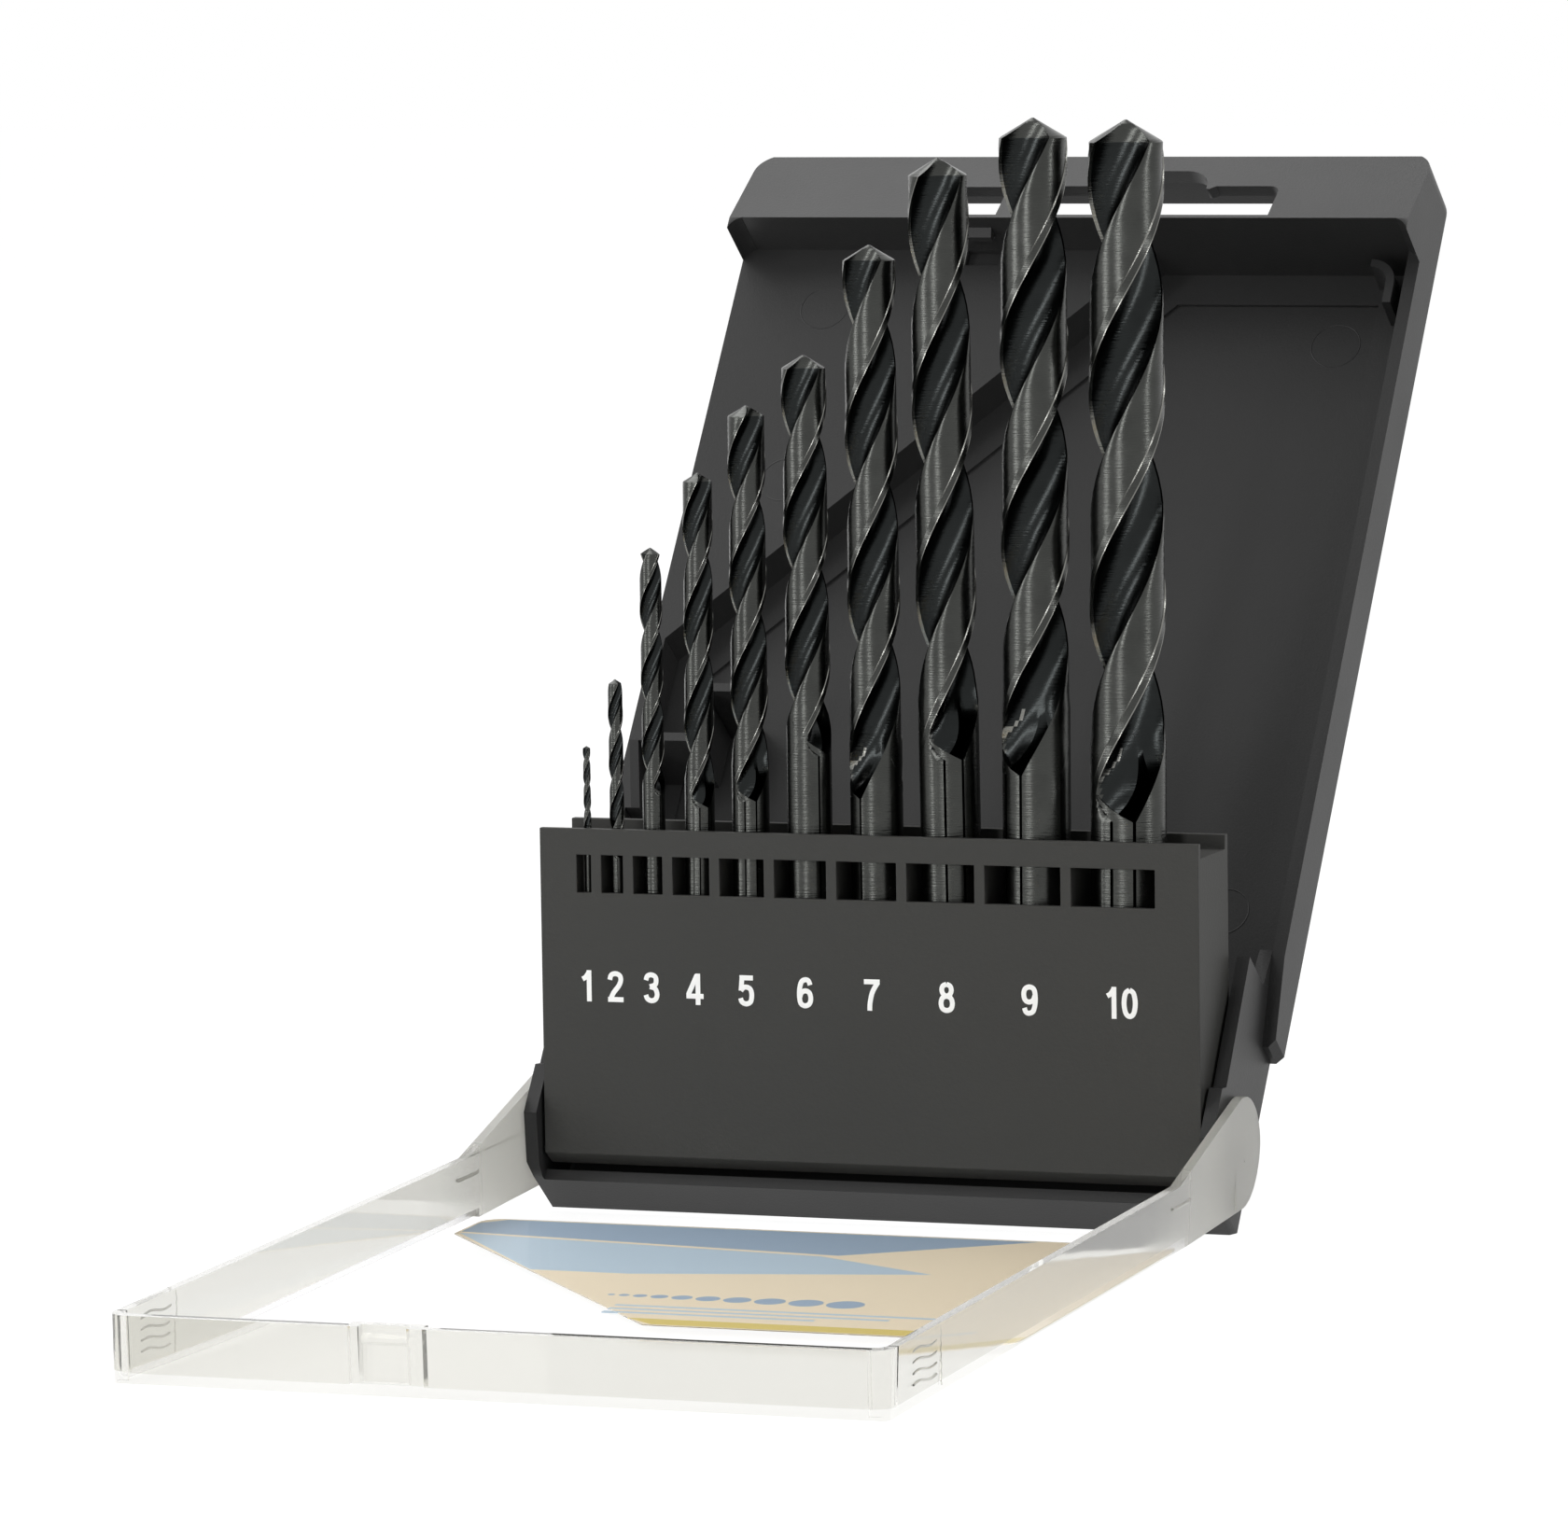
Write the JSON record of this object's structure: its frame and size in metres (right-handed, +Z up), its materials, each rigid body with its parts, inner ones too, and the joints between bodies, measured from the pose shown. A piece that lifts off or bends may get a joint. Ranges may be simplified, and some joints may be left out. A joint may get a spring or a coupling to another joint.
{
  "type": "drill bit case",
  "caption": "Hinged drill bit case standing open: leaning back shell, swinging bit holder with numbered pockets, clear lid with label, and twist drills.",
  "frame": {"origin": "on the table at the back shell's foot, straight below the hinge axis", "axes": "+Z up; +X to the right across the case; the open lid lies towards -Y and the shell leans back towards +Y"},
  "size_m": [0.1, 0.2442, 0.1466],
  "materials": {
    "shell_plastic": "fine satin moulded black polypropylene",
    "holder_plastic": "fine eroded moulded black polypropylene with white printed numbers",
    "clear_styrene": "clear gloss moulded polystyrene, hazy at the ears",
    "label_print": "printed self-adhesive film",
    "drill_steel": "steam-oxidised black high-speed steel"
  },
  "bodies": {
    "shell": {"back_shell": "shell_plastic"},
    "lid": {"clear_lid": "clear_styrene", "lid_label": "label_print"},
    "holder": {"bit_holder": "holder_plastic"},
    "drill_1": {"drill_1mm": "drill_steel"},
    "drill_2": {"drill_2mm": "drill_steel"},
    "drill_3": {"drill_3mm": "drill_steel"},
    "drill_4": {"drill_4mm": "drill_steel"},
    "drill_5": {"drill_5mm": "drill_steel"},
    "drill_6": {"drill_6mm": "drill_steel"},
    "drill_7": {"drill_7mm": "drill_steel"},
    "drill_8": {"drill_8mm": "drill_steel"},
    "drill_9": {"drill_9mm": "drill_steel"},
    "drill_10": {"drill_10mm": "drill_steel"}
  },
  "joints": [
    {"name": "lid_hinge", "type": "hinge", "parent": "shell", "child": "lid", "pos_m": [0, 0, 0.0113], "axis": [1, 0, 0], "range_deg": [-128.58, 0]},
    {"name": "holder_tilt", "type": "hinge", "parent": "shell", "child": "holder", "pos_m": [0, 0, 0.0113], "axis": [1, 0, 0], "range_deg": [-37.41, 0]},
    {"name": "drill_1_lift", "type": "slide", "parent": "holder", "child": "drill_1", "axis": [0, 0, 1], "range_m": [0, 0.0251]},
    {"name": "drill_2_lift", "type": "slide", "parent": "holder", "child": "drill_2", "axis": [0, 0, 1], "range_m": [0, 0.0311]},
    {"name": "drill_3_lift", "type": "slide", "parent": "holder", "child": "drill_3", "axis": [0, 0, 1], "range_m": [0, 0.0255]},
    {"name": "drill_4_lift", "type": "slide", "parent": "holder", "child": "drill_4", "axis": [0, 0, 1], "range_m": [0, 0.0295]},
    {"name": "drill_5_lift", "type": "slide", "parent": "holder", "child": "drill_5", "axis": [0, 0, 1], "range_m": [0, 0.0315]},
    {"name": "drill_6_lift", "type": "slide", "parent": "holder", "child": "drill_6", "axis": [0, 0, 1], "range_m": [0, 0.0318]},
    {"name": "drill_7_lift", "type": "slide", "parent": "holder", "child": "drill_7", "axis": [0, 0, 1], "range_m": [0, 0.0333]},
    {"name": "drill_8_lift", "type": "slide", "parent": "holder", "child": "drill_8", "axis": [0, 0, 1], "range_m": [0, 0.0299]},
    {"name": "drill_9_lift", "type": "slide", "parent": "holder", "child": "drill_9", "axis": [0, 0, 1], "range_m": [0, 0.0327]},
    {"name": "drill_10_lift", "type": "slide", "parent": "holder", "child": "drill_10", "axis": [0, 0, 1], "range_m": [0, 0.041]}
  ],
  "couplings": [
    {"joint": "holder_tilt", "follows": "lid_hinge", "ratio": 0.29088}
  ]
}
